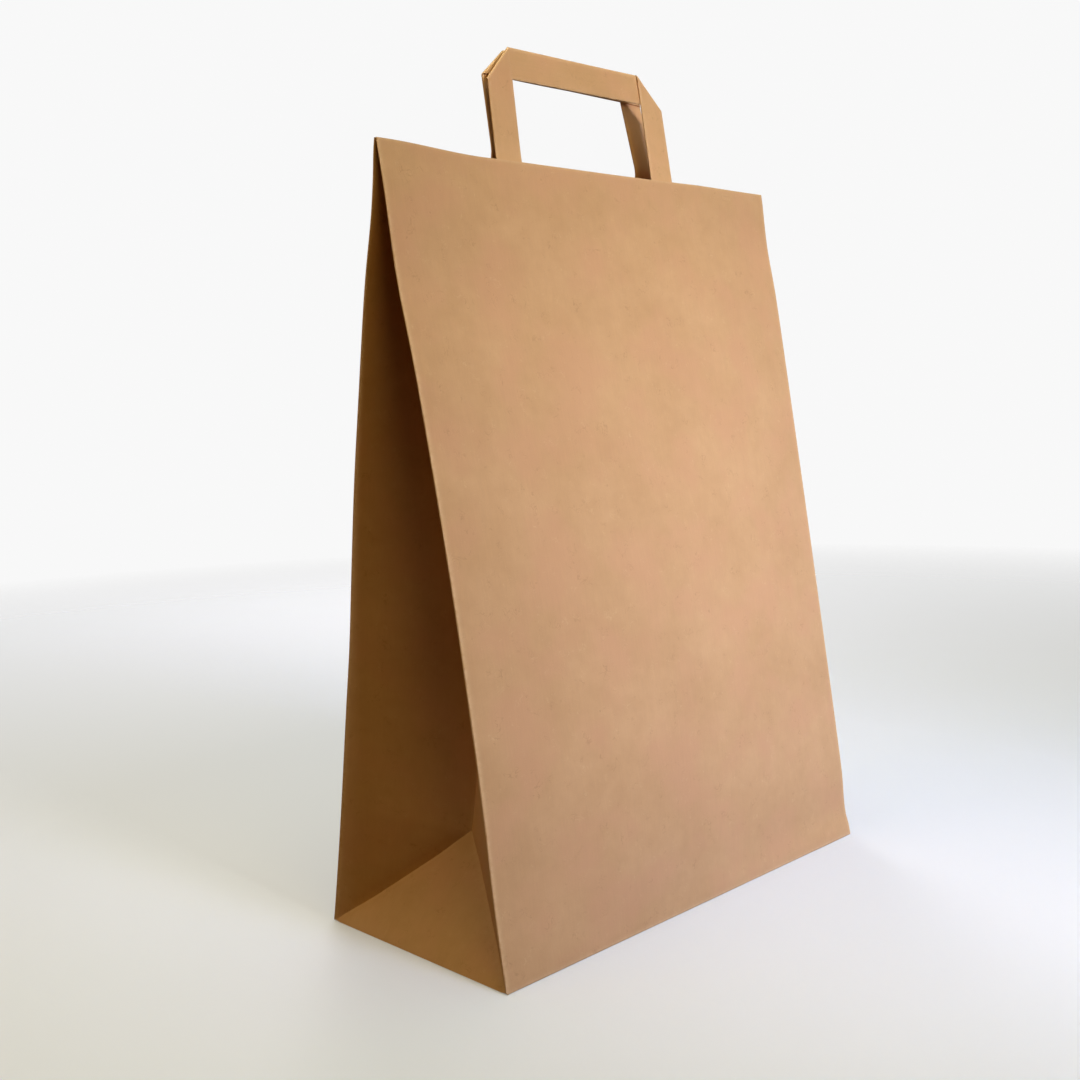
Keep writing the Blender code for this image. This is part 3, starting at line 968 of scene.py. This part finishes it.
def opaque(colour):
    return (*colour, 1)


def fibres(bench, place, line_shift, patch_shift, scale, width, patch_scale):
    """Thin curled lines, here and there on the paper."""
    curl = bench.noise(bench.moved(place, line_shift), scale, 1.5, 0.5, 1.7)
    line = bench.spread(bench.sums("ABSOLUTE", bench.sums("SUBTRACT", curl, 0.5)), 0.0, width, 1, 0)
    patchy = bench.spread(bench.noise(bench.moved(place, patch_shift), patch_scale, 2), 0.57, 0.66)
    return bench.times(line, patchy)


def kraft_material(name, finish, shift=0.0, brightness=1.0):
    """Unbleached paper: soft clouds, upright fibres, small curled fibres, fine grain, and folds paler from
    rubbing and a painted highlight.
    """
    material = bpy.data.materials.new(name)
    material.use_nodes = True
    shader = material.node_tree.nodes["Principled BSDF"]
    bench = Bench(material.node_tree)
    sheet = bench.node("ShaderNodeUVMap", uv_map="sheet").outputs[0]
    place = bench.moved(sheet, (shift, shift * 0.7, 0))

    clouds = bench.noise(place, 26, 3, 0.55)
    mottle = bench.noise(bench.moved(place, (3, 1, 0)), 120, 4, 0.6)
    rosy = bench.noise(bench.moved(place, (7, 5, 0)), 33, 2, 0.5)
    streaks = bench.noise(bench.moved(place, (0, 0, 0), (1100, 75, 1)), 1, 3, 0.6)
    grain = bench.noise(place, 2600, 2, 0.6)

    cloudy = bench.plus(bench.usual(clouds, 0, 0.62), bench.usual(mottle, 0, 0.38))
    colour = bench.blend(cloudy, opaque(finish.dark), opaque(finish.light))
    colour = bench.blend(bench.spread(rosy, 0.45, 0.65, 0, 0.6), colour, opaque(finish.rosy))

    hairs = fibres(bench, place, (11, 2, 0), (5, 9, 0), 190, 0.03, 120)
    pale_hairs = fibres(bench, place, (1, 13, 0), (8, 3, 0), 230, 0.024, 140)

    fine = bench.plus(bench.usual(streaks, 0.98, 1.018), bench.usual(grain, -0.025, 0.025))
    colour = bench.blend(1.0, colour, fine, "MULTIPLY")
    colour = bench.blend(bench.times(hairs, 0.3), colour, opaque(finish.fibre))
    colour = bench.blend(bench.times(pale_hairs, 0.3), colour, opaque(finish.worn_and_highlit))

    # Folds and cut edges go paler: rubbed paper, and on the folds also a painted highlight
    wear_and_highlight = bench.sums("MAXIMUM", bench.attribute("fold_wear_and_highlight"), bench.attribute("cut_edge"))
    broken = bench.spread(bench.noise(bench.moved(place, (2, 17, 0)), 420, 3, 0.6), 0.3, 0.6, 0.35, 1)
    worn_and_highlit = bench.times(bench.times(wear_and_highlight, broken), 0.65)
    colour = bench.blend(worn_and_highlit, colour, opaque(finish.worn_and_highlit))
    if brightness != 1:
        colour = bench.blend(1.0, colour, opaque([brightness] * 3), "MULTIPLY")
    bench.put(shader.inputs["Base Color"], colour)

    rough = bench.plus(bench.usual(mottle, -0.05, 0.05), finish.roughness)
    bench.put(shader.inputs["Roughness"], bench.plus(rough, bench.usual(streaks, -0.04, 0.04)))
    shader.inputs["Specular IOR Level"].default_value = 0.3

    relief = bench.plus(bench.times(grain, 0.35), bench.times(streaks, 0.11))
    relief = bench.plus(relief, bench.times(bench.plus(hairs, pale_hairs), 0.25))
    relief = bench.plus(relief, bench.times(mottle, 0.8))
    bump = bench.node("ShaderNodeBump", {"Strength": 0.22, "Distance": 0.12 * MM, "Height": relief})
    bench.put(shader.inputs["Normal"], bump.outputs[0])
    return material


def finish_piece(piece, material, node):
    piece.data.materials.append(material)
    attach(piece, "root")
    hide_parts(node)


# Operators


class PAPERBAG_OT_sheet(Operator):
    """Fold the bag's sheet: panels, gussets, lap seam and block bottom"""

    bl_idname = "paperbag.sheet"
    bl_label = "Folded sheet"

    def execute(self, context):
        piece = BagBuilder(context.scene).build()
        material = kraft_material("kraft_sheet", context.scene.bag_finish)
        finish_piece(piece, material, "bag_body")
        return {"FINISHED"}


class PAPERBAG_OT_handles(Operator):
    """Fold a flat paper tape into a handle for the front and one for the back"""

    bl_idname = "paperbag.handles"
    bl_label = "Folded tape handles"

    def execute(self, context):
        scene = context.scene
        front, back = front_and_back(scene)
        tapes = (("front_tape", front, FRONT_TAPE_START), ("back_tape", back, BACK_TAPE_START))
        for name, panel, start in tapes:
            piece = Tape(scene, panel).build(name)
            material = kraft_material(name, scene.bag_finish, start, TAPE_BRIGHTNESS)
            finish_piece(piece, material, name.replace("tape", "handle"))
        return {"FINISHED"}


class PAPERBAG_OT_patches(Operator):
    """Lay the paper patches that hold the handles inside the bag"""

    bl_idname = "paperbag.patches"
    bl_label = "Handle patches"

    def execute(self, context):
        scene = context.scene
        front, back = front_and_back(scene)
        material = kraft_material("patch_paper", scene.bag_finish, PATCH_START, PATCH_BRIGHTNESS)
        for name, panel in (("front_patch", front), ("back_patch", back)):
            piece = Tape(scene, panel).build_patch(name, scene.bag_sizes.paper)
            finish_piece(piece, material, name.replace("patch", "handle_patch"))
        return {"FINISHED"}


CAMERA_PLACE = (-0.46825, -0.42560, 0.24024)
CAMERA_YAW = math.radians(44.779)
CAMERA_PITCH = math.radians(9.561)
CAMERA_ROLL = math.radians(-1.706)
CAMERA_LENS = 43.15
CAMERA_RAISE = 0.0727

# How far from the middle the floor starts to fade into the backdrop, and where it is gone
FLOOR_FADE = (0.35, 1.5)

# Each light's place, the point that it faces, its diameter, its spread in degrees, its power and its colour
LIGHTS = {
    "key_light": ((-0.07, -1.0, 0.66), (0.13, -0.03, 0.19), 0.25, 56, 0.84, (0.97, 0.92, 0.75)),
    "fill_light": ((0.1, -1.2, 0.5), (0.13, -0.03, 0.04), 0.4, 38, 0.58, (0.59, 0.68, 1.0)),
    "side_light": ((-0.45, -1.0, 0.9), (-0.1, 0, 0.12), 0.6, 180, 2.88, (1.0, 0.63, 0.13)),
    "left_light": ((-0.9, 0.3, 0.5), (-0.1, 0, 0.1), 0.6, 180, 1.38, (1.0, 0.49, 0.02)),
    "top_light": ((-0.1, 0.05, 1.5), (0, 0, 0), 1.4, 180, 13.0, (0.99, 1.0, 0.68)),
    "back_light": ((0.7, 1.0, 0.7), (0, 0, 0.17), 0.6, 180, 8.0, (1.0, 0.9, 0.8)),
}


class PAPERBAG_OT_studio(Operator):
    """Set up the camera, the floor, the backdrop and soft studio light"""

    bl_idname = "paperbag.studio"
    bl_label = "Plain studio"

    def execute(self, context):
        scene = context.scene
        self.add_camera(scene)
        self.add_floor(scene, scene.bag_studio)
        self.add_backdrop(scene, scene.bag_studio)
        for name, light in LIGHTS.items():
            self.add_light(scene, name, *light)
        scene.view_settings.view_transform = "Standard"
        return {"FINISHED"}

    def add_camera(self, scene):
        data = bpy.data.cameras.new("camera")
        data.sensor_fit = "AUTO"
        data.sensor_width = 36
        data.lens = CAMERA_LENS
        data.shift_y = CAMERA_RAISE
        data.clip_start = 0.01
        data.clip_end = 30
        yaw, pitch, roll = CAMERA_YAW, CAMERA_PITCH, CAMERA_ROLL
        ahead = Vector((math.sin(yaw) * math.cos(pitch), math.cos(yaw) * math.cos(pitch), -math.sin(pitch)))
        level = Vector((math.cos(yaw), -math.sin(yaw), 0))
        upright = level.cross(ahead)
        right = level * math.cos(roll) + upright * math.sin(roll)
        up = upright * math.cos(roll) - level * math.sin(roll)
        camera = bpy.data.objects.new("camera", data)
        turn = Matrix((right, up, -ahead)).transposed()
        camera.matrix_world = Matrix.Translation(CAMERA_PLACE) @ turn.to_4x4()
        scene.collection.objects.link(camera)
        scene.camera = camera

    def add_floor(self, scene, settings):
        half = 4.0
        height = -0.05 * MM
        mesh = bpy.data.meshes.new("floor")
        corners = [(half * x, half * y, height) for x, y in ((-1, -1), (1, -1), (1, 1), (-1, 1))]
        mesh.from_pydata(corners, [], [(0, 1, 2, 3)])
        material = bpy.data.materials.new("floor")
        material.use_nodes = True
        shader = material.node_tree.nodes["Principled BSDF"]
        bench = Bench(material.node_tree)
        place = bench.node("ShaderNodeTexCoord").outputs["Object"]
        distance = bench.node("ShaderNodeVectorMath", {0: place}, operation="LENGTH").outputs["Value"]
        shader.inputs["Base Color"].default_value = opaque(settings.floor)
        shader.inputs["Roughness"].default_value = 0.9
        shader.inputs["Specular IOR Level"].default_value = 0.1
        shader.inputs["Emission Color"].default_value = (1, 1, 1, 1)
        shader.inputs["Emission Strength"].default_value = settings.floor_glow
        bench.put(shader.inputs["Alpha"], bench.spread(distance, *FLOOR_FADE, 1, 0))
        mesh.materials.append(material)
        floor = bpy.data.objects.new("floor", mesh)
        scene.collection.objects.link(floor)
        floor.visible_diffuse = False

    def add_backdrop(self, scene, settings):
        world = bpy.data.worlds.new("studio")
        world.use_nodes = True
        tree = world.node_tree
        bench = Bench(tree)
        seen = tree.nodes["Background"]
        seen.inputs["Color"].default_value = opaque(settings.backdrop)
        seen.inputs["Strength"].default_value = 1
        dim = bench.node("ShaderNodeBackground", {"Color": (1, 1, 1, 1), "Strength": 0.0})
        rays = bench.node("ShaderNodeLightPath").outputs["Is Camera Ray"]
        both = bench.node("ShaderNodeMixShader", {0: rays, 1: dim.outputs[0], 2: seen.outputs[0]})
        bench.put(tree.nodes["World Output"].inputs[0], both.outputs[0])
        scene.world = world

    def add_light(self, scene, name, place, target, size, spread, power, colour):
        data = bpy.data.lights.new(name, "AREA")
        data.shape = "DISK"
        data.size = size
        data.spread = math.radians(spread)
        data.energy = power * scene.bag_studio.light
        data.color = colour
        light = bpy.data.objects.new(name, data)
        light.location = place
        light.rotation_euler = (Vector(target) - Vector(place)).to_track_quat("-Z", "Y").to_euler()
        scene.collection.objects.link(light)


class PAPERBAG_PT_panel(Panel):
    bl_label = "Kraft Carrier Bag"
    bl_idname = "PAPERBAG_PT_panel"
    bl_space_type = "VIEW_3D"
    bl_region_type = "UI"
    bl_category = "Paper Bag"

    def draw(self, context):
        layout = self.layout
        for operator in OPERATORS:
            layout.operator(operator.bl_idname)
        for label in GROUPS:
            box = layout.box()
            group = getattr(context.scene, label)
            for key in group.__annotations__:
                box.prop(group, key)


FRONT_HANDLE = {
    "width": 114.3 * MM,
    "rise": 51 * MM,
    "shift": -2.8 * MM,
    "tape_width": 14 * MM,
    "leg_widening": 1.06,
    "lean": math.radians(8.1),
    "twist": math.radians(1.4),
    "tilt": math.radians(0.4),
    "shoulder_drop": 1.7 * MM,
}
BACK_HANDLE = {
    "width": 116.9 * MM,
    "rise": 50.8 * MM,
    "shift": -0.4 * MM,
    "tape_width": 12.6 * MM,
    "leg_widening": 1.26,
    "lean": math.radians(12.2),
    "twist": math.radians(2.7),
    "tilt": math.radians(1.1),
    "shoulder_drop": 0,
}

GROUPS = {
    "bag_sizes": BagSizes,
    "bag_handles": HandleSizes,
    "bag_front_handle": HandlePlace,
    "bag_back_handle": HandlePlace,
    "bag_finish": PaperFinish,
    "bag_studio": StudioSettings,
}
OPERATORS = (PAPERBAG_OT_sheet, PAPERBAG_OT_handles, PAPERBAG_OT_patches, PAPERBAG_OT_studio)
CLASSES = (*dict.fromkeys(GROUPS.values()), *OPERATORS, PAPERBAG_PT_panel)


def register():
    for item in CLASSES:
        bpy.utils.register_class(item)
    for label, group in GROUPS.items():
        setattr(bpy.types.Scene, label, PointerProperty(type=group))


def place_handles(scene):
    for group, values in ((scene.bag_front_handle, FRONT_HANDLE), (scene.bag_back_handle, BACK_HANDLE)):
        for label, value in values.items():
            setattr(group, label, value)


def unregister():
    for label in GROUPS:
        delattr(bpy.types.Scene, label)
    for item in reversed(CLASSES):
        bpy.utils.unregister_class(item)


def main():
    register()
    place_handles(bpy.context.scene)
    bpy.ops.paperbag.sheet()
    bpy.ops.paperbag.handles()
    bpy.ops.paperbag.patches()
    bpy.ops.paperbag.studio()


if __name__ == "__main__":
    main()
